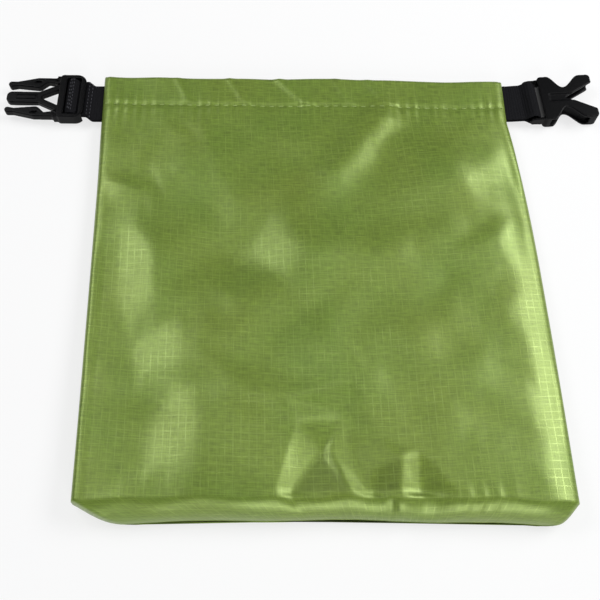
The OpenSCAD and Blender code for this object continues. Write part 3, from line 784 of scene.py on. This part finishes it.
# %% Sew down a copy of the front
SETTLE_SIZE = 10          # times life size
SETTLE_STEP = 2           # every second row and column
SETTLE_TOP = 16.8         # mm down from the mouth, just below the hem's seam
SEWN_BORDER = 2.5         # mm of border that can't move
BORDER_HOLD = 0.5         # how firmly the cloth next to it is held
BORDER_FADE = 4           # mm over which that fades
FLAT_HOLD = 0.15          # how firmly the cloth beneath holds the front to its place
first_row, ridge_row = downs.index(SETTLE_TOP), downs.index(SACK_LEN)
loft_rows = np.unique(np.append(np.arange(first_row, ridge_row, SETTLE_STEP), ridge_row))
loft_columns = np.arange(0, FRONT_COLUMNS + 1, SETTLE_STEP)
loft = np.array([rings[row][loft_columns] for row in loft_rows])
high, wide = loft.shape[:2]
to_side = np.minimum(loft[..., 0] - loft[:, :1, 0], loft[:, -1:, 0] - loft[..., 0])
to_end = np.minimum(loft[:1, :, 1] - loft[..., 1], loft[..., 1] - loft[-1:, :, 1])
quads = [(r * wide + c, (r + 1) * wide + c, (r + 1) * wide + c + 1, r * wide + c + 1)
         for r in range(high - 1) for c in range(wide - 1)]
spare = new_piece("settling_front", loft.reshape(-1, 3) * SETTLE_SIZE, quads)
sewn_down = spare.vertex_groups.new(name="sewn")
for index, near in enumerate(np.minimum(to_side, to_end).ravel()):
    fading = BORDER_HOLD - BORDER_HOLD * (near - SEWN_BORDER) / BORDER_FADE
    hold = 1 if near < SEWN_BORDER else max(FLAT_HOLD, fading)
    sewn_down.add([index], hold, "REPLACE")
print("copy of the front:", high, "x", wide, "points")

# %% Let it settle
GROWTH = 0.016
SETTLE_FRAMES = 24
settling = spare.modifiers.new("settling", "CLOTH")
for setting, value in (("quality", 6), ("mass", 0.05), ("air_damping", 2), ("vertex_group_mass", "sewn"),
                       ("tension_stiffness", 20), ("compression_stiffness", 20), ("shear_stiffness", 10),
                       ("bending_stiffness", 1.5), ("tension_damping", 8), ("compression_damping", 8),
                       ("shear_damping", 8), ("shrink_min", -GROWTH), ("shrink_max", -GROWTH)):
    setattr(settling.settings, setting, value)
settling.settings.effector_weights.gravity = 0
settling.collision_settings.use_collision = False
settling.point_cache.frame_end = SETTLE_FRAMES
for moment in range(1, SETTLE_FRAMES + 1):
    scene.frame_set(moment)
settled = spare.evaluated_get(bpy.context.evaluated_depsgraph_get()).data
places = np.empty(3 * len(settled.vertices))
settled.vertices.foreach_get("co", places)
move = places.reshape(loft.shape) / MM / SETTLE_SIZE - loft
scene.frame_set(1)
bpy.data.objects.remove(spare)
reach = np.linalg.norm(move, axis=2)
print("settled: largest move", round(reach.max(), 2), "mm, mean", round(reach.mean(), 2), "mm")

# %% [markdown]
# Each point's move is capped, faded out towards the side folds and the dents, and added to the loft. The
# rows and columns between get theirs from their neighbours.

# %% Add the move to the loft
MOVE_CAP = 1.6            # mm
MOVE_KEPT = 0.16          # share of the move that is added
SIDE_STILL, SIDE_FREE = 2, 22       # mm from a side fold where the move begins and is whole
DENTS_X, DENTS_HALF = 12, 26        # middle and half width of the cloth with the dents
DENTS_FROM, DENTS_FULL = -58, -70   # where it begins and is whole
DENTS_STILL = 0.8         # share of the move that it leaves out
move *= np.minimum(1, MOVE_CAP / np.maximum(reach, MOVE_CAP / 100))[..., None]
dented = np.exp(-((loft[..., 0] - DENTS_X) / DENTS_HALF) ** 4)
dented = dented * smoothstep(DENTS_FROM, DENTS_FULL, loft[..., 1])
move *= (MOVE_KEPT * smoothstep(SIDE_STILL, SIDE_FREE, to_side) * (1 - DENTS_STILL * dented))[..., None]
every_column = np.arange(FRONT_COLUMNS + 1)
for row in range(first_row, ridge_row + 1):
    for axis in range(3):
        by_row = [np.interp(row, loft_rows, move[:, c, axis]) for c in range(wide)]
        rings[row][:FRONT_COLUMNS + 1, axis] += np.interp(every_column, loft_columns, by_row)
print("largest move added:", round(np.abs(move).max(), 2), "mm")

# %% [markdown]
# ## One skin of cloth
# The rings are joined into one skin. The cloth's own map comes with it: how far a point is round the tube
# and down from the hem, in millimetres, with the weft sagging a little in the middle. Solidify gives the
# cloth its 0.25 mm, inwards, so the outside stays where the loft put it.

# %% Join the rings
WEFT_SAG = 4.0            # mm by which the weft sags in the middle
SAG_BELOW = 60            # mm below the mouth until it does
ring_size = len(rings[0])
round_mm = np.concatenate([front_share * SACK_W, SACK_W + (1 - back_share[:-1][::-1]) * SACK_W])


def cloth_map(row, i):
    """Where a point lies on the cloth's map."""
    u = round_mm[i]
    inwards = 1 - (((u % SACK_W) / SACK_W) * 2 - 1) ** 2
    return u, downs[row] - WEFT_SAG * inwards * smoothstep(0, SAG_BELOW, downs[row])


faces, face_map = [], []
last_row = len(rings) - 1
for row in range(last_row):
    for i in range(ring_size):
        corners = ((row, i), (row + 1, i), (row + 1, i + 1), (row, i + 1))
        faces.append([r * ring_size + c % ring_size for r, c in corners])
        face_map.append([cloth_map(r, c) for r, c in corners])
faces.append([last_row * ring_size + i for i in range(ring_size)])
face_map.append([cloth_map(last_row, i) for i in range(ring_size)])
print("faces of the skin:", len(faces))

# %% The sack's cloth
CLOTH_T = 0.25            # mm
sack_cloth = new_piece("sack_cloth", np.concatenate(rings), faces, ripstop)
layer = sack_cloth.data.uv_layers.new(name="cloth_mm")
for face, mapped in zip(sack_cloth.data.polygons, face_map):
    for loop, uv in zip(face.loop_indices, mapped):
        layer.data[loop].uv = uv
# Painted shade: each point of the front gets its share of the shade painted into the dents.
shade_painted_per_point = np.zeros((len(rings), ring_size))
for row, down in enumerate(downs):
    front_x = rings[row][:FRONT_COLUMNS + 1, 0]
    shade_painted_per_point[row, :FRONT_COLUMNS + 1] = dents(front_x, np.full_like(front_x, Y_HEM - down))[1]
sack_cloth.data.attributes.new("dent_painted_shade", "FLOAT", "POINT").data.foreach_set("value", shade_painted_per_point.ravel())
thicken(sack_cloth, CLOTH_T, -1)
print("sack cloth:", len(sack_cloth.data.polygons), "faces")

# %% [markdown]
# ## Rows of stitches
# A lockstitch shows as short, slightly plump dashes of thread, each sunk at both ends. A Geometry Nodes
# tree lays one small rounded dash on every point of a path, turned along it, with a little difference
# from one to the next. The same tree sews the hem and, later, the webbing.

# %% A tree that sews
WANDER = (0.05, 0.05, 0.02)         # how far a stitch's heading may wander each way


def make_stitcher():
    tree = bpy.data.node_groups.new("row_of_stitches", "GeometryNodeTree")
    sockets = {}
    for name, kind, value in (("Path", "Geometry", None), ("Pitch", "Float", 0.0034),
                              ("Length", "Float", 0.0025), ("Width", "Float", 0.00055),
                              ("Height", "Float", 0.0004), ("Seed", "Int", 4),
                              ("Thread", "Material", None)):
        sockets[name] = tree.interface.new_socket(name=name, in_out="INPUT",
                                                  socket_type="NodeSocket" + kind)
        if value is not None:
            sockets[name].default_value = value
    tree.interface.new_socket(name="Stitches", in_out="OUTPUT", socket_type="NodeSocketGeometry")
    given = add_node(tree, "NodeGroupInput").outputs
    line = add_node(tree, "GeometryNodeMeshToCurve", {"Mesh": given["Path"]})
    spots = add_node(tree, "GeometryNodeResampleCurve",
                     {"Curve": line.outputs[0], "Length": given["Pitch"]}, mode="LENGTH")
    ball = add_node(tree, "GeometryNodeMeshUVSphere", {"Segments": 8, "Rings": 6, "Radius": 0.5})
    size = add_node(tree, "ShaderNodeCombineXYZ",
                    {0: given["Length"], 1: given["Width"], 2: given["Height"]})
    dash = add_node(tree, "GeometryNodeTransform",
                    {"Geometry": ball.outputs[0], "Scale": size.outputs[0]})
    tangent = add_node(tree, "GeometryNodeInputTangent")
    wander = add_node(tree, "FunctionNodeRandomValue",
                      {"Min": [-w for w in WANDER], "Max": WANDER, "Seed": given["Seed"]},
                      data_type="FLOAT_VECTOR")
    aim = add_node(tree, "ShaderNodeVectorMath", {0: tangent.outputs[0], 1: wander.outputs[0]},
                   operation="ADD")
    turn = add_node(tree, "FunctionNodeAlignRotationToVector", {"Vector": aim.outputs[0]}, axis="X")
    row = add_node(tree, "GeometryNodeInstanceOnPoints",
                   {"Points": spots.outputs[0], "Instance": dash.outputs[0], "Rotation": turn.outputs[0]})
    real = add_node(tree, "GeometryNodeRealizeInstances", {0: row.outputs[0]})
    sewn = add_node(tree, "GeometryNodeSetMaterial",
                    {"Geometry": real.outputs[0], "Material": given["Thread"]})
    add_node(tree, "NodeGroupOutput", {0: sewn.outputs[0]})
    return tree, {name: item.identifier for name, item in sockets.items()}


stitcher, stitch_input = make_stitcher()
print("stitcher's inputs:", list(stitch_input))

# %% [markdown]
# The hem has one row of stitches in front and one behind. They lie in the sewn groove, a little proud of
# the cloth, and stop short of the side folds.

# %% Hem stitches
Y_STITCH = 85             # where the row's ends are measured
STITCH_END = 2.5          # mm from the side folds
FRONT_PROUD, BACK_PROUD = 0.12, 0.02


def sew(name, paths_mm, thread, **sizes):
    """A piece of stitches along lines of points in millimetres."""
    mesh = bpy.data.meshes.new(name)
    spots, edges = [], []
    for line in paths_mm:
        edges += [(len(spots) + i, len(spots) + i + 1) for i in range(len(line) - 1)]
        spots += [tuple(np.asarray(p, float) * MM) for p in line]
    mesh.from_pydata(spots, edges, [])
    piece = put(name, mesh)
    sewing = piece.modifiers.new("sewing", "NODES")
    sewing.node_group = stitcher
    sewing[stitch_input["Thread"]] = thread
    for key, value in sizes.items():
        sewing[stitch_input[key]] = value
    return settle(piece)


hem_lines = []
first_x, last_x = left_edge(Y_STITCH) + STITCH_END, right_edge(Y_STITCH) - STITCH_END
for ply, proud in zip(sack_row(HEM_W), (FRONT_PROUD, BACK_PROUD)):
    inside = (ply[:, 0] > first_x) & (ply[:, 0] < last_x)
    hem_lines.append(ply[inside] + (0, 0, proud))
hem_stitches = sew("hem_stitches", hem_lines, thread_green, Pitch=STITCH_PITCH * MM)
print("hem stitches:", len(hem_stitches.data.polygons), "faces")

# %% [markdown]
# ## What the hem and the side seams hold
# A strip of polyethylene lies between the plies of the back hem and keeps the mouth straight for rolling.
# The side seams end inside the sack as flat allowances under a sealing tape. Both are thin ribbons that
# follow the cloth, so each is a grid along the cloth's own edge with a thickness. The tapes lie between
# front and back, a little nearer the back.

# %% Stiffener and seam tapes
STRIP_HALF, STRIP_Z, STRIP_T = 87.5, 0.88, 0.45    # half length, height and thickness
STRIP_DOWN = (13, 9, 5, 1.4)        # mm below the mouth's edge
TAPE_IN = (1.8, 4, 6.5, 9)          # mm from the side fold
TAPE_T = 0.5
TAPE_FROM, TAPE_TO = Y_RIDGE + 2, Y_ROLL - 1       # just clear of the ridge and of the roll
TAPE_LOW = 0.6            # 0.5 is midway between front and back, 1 is on the back


def ribbon_grid(name, lines_mm, thickness, material):
    """A sheet through lines of points, thickened evenly to both sides."""
    count, width = len(lines_mm), len(lines_mm[0])
    quads = [(r * width + c, r * width + c + 1, (r + 1) * width + c + 1, (r + 1) * width + c)
             for r in range(count - 1) for c in range(width - 1)]
    return thicken(new_piece(name, np.concatenate(lines_mm), quads, material), thickness, 0)


def tape_height(x, y):
    """Height of a seam tape inside the sack."""
    low = back_height(Y_HEM - y, 0, np.array([x]))[0]
    high = front_points(Y_HEM - y, np.array([x]))[0]
    return TAPE_LOW * low + (1 - TAPE_LOW) * high


strip_x = np.linspace(-STRIP_HALF, STRIP_HALF, 60)
strip_lines = [np.stack([strip_x, hem_edge(strip_x) - d, np.full_like(strip_x, STRIP_Z)], 1)
               for d in STRIP_DOWN]
hem_strip = ribbon_grid("hem_stiffener_strip", strip_lines, STRIP_T, strip)
tape_y = np.linspace(TAPE_FROM, TAPE_TO, 50)
tapes = []
for name, edge, inwards in (("left_seam_tape", left_edge, 1), ("right_seam_tape", right_edge, -1)):
    tape_lines = []
    for d in TAPE_IN:
        x = edge(tape_y) + inwards * d
        z = [tape_height(*spot) for spot in zip(x, tape_y)]
        tape_lines.append(np.stack([x, tape_y, z], 1))
    tapes.append(ribbon_grid(name, tape_lines, TAPE_T, tape))
print("inside the cloth:", [o.name for o in (hem_strip, *tapes)])

# %% [markdown]
# ## Webbing tabs
# Each tab is one length of webbing, sewn into the side seam by both ends and looped round a bar of the
# buckle. Its middle line runs out along the upper ply, round the bar and back along the lower ply.

# %% Path of a tab
WEB_W, WEB_T = 19, 1.2    # width and thickness of the webbing
Y_WEB, Z_WEB = 88.7, 3.4  # middle line of the tabs, along Y and over the table
ROOT_X = 94               # where the webbing leaves the side seam
PLY = 0.63                # height of each ply's middle over the seam
LOOP_R = 2.85             # middle of the webbing round a bar
LOOP_TURN = 85            # degrees from the loop's far side to where each ply begins
PLUG_BAR, SOCKET_BAR = 12.0, 10.4   # from the seam to the middle of a bar
PLUG_YAW, SOCKET_YAW = 1, 4         # degrees by which the tabs turn
PLUG_RISE = 2.5           # how far the plug's tab slants over to its frame
PLUG_SLANT = (1.8, 5.9)   # from where to where it does
YAW_OVER = 4              # mm over which the tabs turn
RIB_PITCH = 1.15          # mm from one woven rib to the next
RIB_STEPS = 6             # rings of points in a rib


def tab_line(bar, tail, swell):
    """Middle line of a tab as (u, z): upper ply, loop, lower ply, in even steps."""
    u = np.linspace(-tail, bar, 60)
    z = PLY + (LOOP_R - PLY) * smoothstep(bar - swell, bar, u)
    turn = np.radians(np.linspace(LOOP_TURN, -LOOP_TURN, 30))
    line = np.concatenate([
        np.stack([u, z], 1),
        np.stack([bar + LOOP_R * np.cos(turn), LOOP_R * np.sin(turn)], 1),
        np.stack([u, -z], 1)[::-1],
    ])
    gone = np.concatenate([[0], np.cumsum(np.hypot(*np.diff(line, axis=0).T))])
    even = np.linspace(0, gone[-1], int(gone[-1] / (RIB_PITCH / RIB_STEPS)))
    return np.stack([np.interp(even, gone, line[:, 0]), np.interp(even, gone, line[:, 1])], 1), even


def tab_place(side, yaw, rise, u, v, z):
    """Points of a tab in the part's frame: u outwards from the seam, v across, z over the seam."""
    a = math.radians(yaw)
    over = rise * smoothstep(*PLUG_SLANT, u)
    out = np.clip(u, 0, None)
    x = side * (ROOT_X + u - out * (1 - math.cos(a)) - v * math.sin(a) * smoothstep(0, YAW_OVER, u))
    return np.stack([x, Y_WEB + over + out * math.sin(a) + v * math.cos(a), Z_WEB + z], -1)


print("tabs from the seam to the bar:", PLUG_BAR, "and", SOCKET_BAR, "mm")

# %% [markdown]
# The woven ribs across the webbing are real geometry: the thickness swells and sinks along the length,
# a little unevenly from edge to edge, and the edges are rounded.

# %% Webbing tabs
RIB_DEPTH = 0.14
RIB_UNEVEN = 0.25         # how far a rib sways across the width, in radians of its pitch
TAB_TAIL = 8.0            # mm of webbing inside the seam
TAB_COLUMNS = 25
EDGE_POWER = 10           # the higher, the squarer the webbing's edges
PLUG_SWELL, SOCKET_SWELL = 3.3, 4.6        # mm before the bar over which the plies part


def make_tab(name, side, bar, yaw, rise, swell):
    line, gone = tab_line(bar, TAB_TAIL, swell)
    tangent = np.gradient(line, axis=0)
    tangent /= np.linalg.norm(tangent, axis=1)[:, None]
    normal = np.stack([-tangent[:, 1], tangent[:, 0]], 1)
    v = WEB_W / 2 * np.sin(np.linspace(-np.pi / 2, np.pi / 2, TAB_COLUMNS))
    half = (WEB_T / 2) * (1 - np.abs(v / (WEB_W / 2)) ** EDGE_POWER) ** 0.5
    ring_v = np.concatenate([v, v[1:-1][::-1]])
    ring_t = np.concatenate([half, -half[1:-1][::-1]])
    slices = []
    for p, n, s in zip(line, normal, gone):
        phase = 2 * np.pi * s / RIB_PITCH + RIB_UNEVEN * np.sin(ring_v)
        t = ring_t * (1 - (RIB_DEPTH / WEB_T * 2) * (1 - np.cos(phase)) / 2)
        slices.append(tab_place(side, yaw, rise, p[0] + n[0] * t, ring_v, p[1] + n[1] * t))
    m = len(ring_v)
    quads = [(r * m + i, r * m + (i + 1) % m, (r + 1) * m + (i + 1) % m, (r + 1) * m + i)
             for r in range(len(slices) - 1) for i in range(m)]
    end = (len(slices) - 1) * m
    quads += [tuple(range(m))[::-1], tuple(range(end, end + m))]
    piece = new_piece(name, np.concatenate(slices), quads, webbing)
    shell = bmesh.new()
    shell.from_mesh(piece.data)
    bmesh.ops.recalc_face_normals(shell, faces=shell.faces)
    shell.to_mesh(piece.data)
    shell.free()
    piece.data.shade_smooth()
    return piece


plug_tab = make_tab("plug_webbing_tab", -1, PLUG_BAR, PLUG_YAW, PLUG_RISE, PLUG_SWELL)
socket_tab = make_tab("socket_webbing_tab", 1, SOCKET_BAR, SOCKET_YAW, 0, SOCKET_SWELL)
print("webbing faces:", len(plug_tab.data.polygons), len(socket_tab.data.polygons))

# %% [markdown]
# Two rows of stitches hold the plies of the plug's tab together, close to the frame. Three more run over
# the loop, where the end of the strap is sewn down.

# %% Stitches on the webbing
# Rows: mm from the seam, and height of the webbing's middle there.
TACKS = ((3.4, PLY), (5.0, PLY), (11.7, LOOP_R), (12.5, LOOP_R), (13.3, LOOP_R - 0.3))
TACK_HALF = 8.7           # half a row's length
TACK_SHIFT = 0.5          # mm by which each row starts later than the last
tack_lines = []
for row, (u, z) in enumerate(TACKS):
    v = np.linspace(-TACK_HALF + TACK_SHIFT * row, TACK_HALF, 30)
    at_u, at_z = np.full_like(v, u), np.full_like(v, z + WEB_T / 2)
    tack_lines.append(tab_place(-1, PLUG_YAW, PLUG_RISE, at_u, v, at_z))
plug_stitches = sew("plug_tab_stitches", tack_lines, thread_black, Pitch=0.0018, Length=0.0013,
                    Width=0.00042, Height=0.0004, Seed=9)
print("webbing stitches:", len(plug_stitches.data.polygons), "faces")

# %% [markdown]
# ## The moulded buckle
# Both halves come out of steel tools, so every edge has a small radius. The solids have the right walls,
# bars and prongs but sharp edges. A copy of each is merged, filled with fine voxels and smoothed a few
# times, which rounds all edges and inner corners by a few tenths of a millimetre, as moulding does. Round
# pegs in the plug's frame reach into the roots of its prongs, where these grow out of it.

# %% Buckle halves
VOXEL = 0.22              # mm
ROUNDING = 5              # smoothing passes
ROUNDING_STEP = 0.5       # share of the way to its neighbours' middle that a point moves in each
PRONG_U, PRONG_V = 20.0, 9.2        # a prong's root, out from the seam and across
PRONG_LOW, PRONG_HIGH = 1.8, 5.0    # its underside and top
PEG_R = 1.75


def plug_place(u, v):
    """A place on the plug, u out from the seam and v across, in the part's frame."""
    a = math.radians(PLUG_YAW)
    x = -(ROOT_X + u * math.cos(a) - v * math.sin(a))
    return x, Y_WEB + PLUG_RISE + u * math.sin(a) + v * math.cos(a)


def moulded(name, node, pegs=()):
    """A rounded copy of a solid, with round pegs added where two mouldings grow together."""
    solid = bmesh.new()
    solid.from_mesh(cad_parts[node].data)
    bmesh.ops.remove_doubles(solid, verts=solid.verts, dist=1e-6)
    for px, py in pegs:
        place = Matrix.Translation((px * MM, py * MM, (PRONG_LOW + PRONG_HIGH) / 2 * MM))
        bmesh.ops.create_cone(solid, cap_ends=True, segments=32, radius1=PEG_R * MM, radius2=PEG_R * MM,
                              depth=(PRONG_HIGH - PRONG_LOW) * MM, matrix=place)
    mesh = bpy.data.meshes.new(name)
    solid.to_mesh(mesh)
    solid.free()
    piece = put(name, mesh)
    voxels = piece.modifiers.new("voxels", "REMESH")
    voxels.mode = "VOXEL"
    voxels.voxel_size = VOXEL * MM
    rounding = piece.modifiers.new("rounding", "SMOOTH")
    rounding.factor = ROUNDING_STEP
    rounding.iterations = ROUNDING
    settle(piece)
    piece.data.materials.clear()
    piece.data.materials.append(acetal)
    return piece


roots = [plug_place(PRONG_U, v) for v in (PRONG_V, -PRONG_V)]
plug_frame = moulded("plug_moulding", "plug_frame", roots)
upper_prong = moulded("upper_prong_moulding", "plug_upper_prong")
lower_prong = moulded("lower_prong_moulding", "plug_lower_prong")
socket = moulded("socket_moulding", "socket_body")
print("buckle faces:", [len(o.data.polygons) for o in (plug_frame, upper_prong, lower_prong, socket)])

# %% [markdown]
# ## Which piece moves with what
# The cloth bends where the mouth rolls, the tabs bend where they leave the seam, and the prongs bend in
# their necks, but here these pieces only get their place baked into their points. The rest rides on one
# body. The solids that a piece stands for are hidden.

# %% Cloth, tabs and prongs, with their solids hidden
NECK_FROM, NECK_TO = -0.5, 4        # mm from a prong's root where its neck begins and ends
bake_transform(sack_cloth)
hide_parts("back_panel", "front_panel", "left_side_fold", "right_side_fold", "base_panel",
            "back_lip", "front_lip", "left_lip_fold", "right_lip_fold",
            "back_hem_facing", "front_hem_facing")
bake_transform(plug_tab)
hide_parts("left_webbing", "left_webbing_tail")
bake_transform(socket_tab)
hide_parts("right_webbing", "right_webbing_tail")
for prong, body, node, v in ((upper_prong, "upper_prong", "plug_upper_prong", PRONG_V),
                             (lower_prong, "lower_prong", "plug_lower_prong", -PRONG_V)):
    near, far = plug_place(PRONG_U + NECK_FROM, v), plug_place(PRONG_U + NECK_TO, v)
    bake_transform(prong)
    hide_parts(node)
print("bending pieces:", [o.name for o in (sack_cloth, plug_tab, socket_tab, upper_prong, lower_prong)])

# %% Pieces that ride
for piece, body, nodes in ((hem_stitches, "roll_band", ()),
                           (hem_strip, "roll_band", ("hem_stiffener",)),
                           (tapes[0], "sack", ("left_seam_allowance",)),
                           (tapes[1], "sack", ("right_seam_allowance",)),
                           (plug_stitches, "plug", ()),
                           (plug_frame, "plug", ("plug_frame",)),
                           (socket, "socket", ("socket_body",))):
    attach(piece, body)
    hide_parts(*nodes)
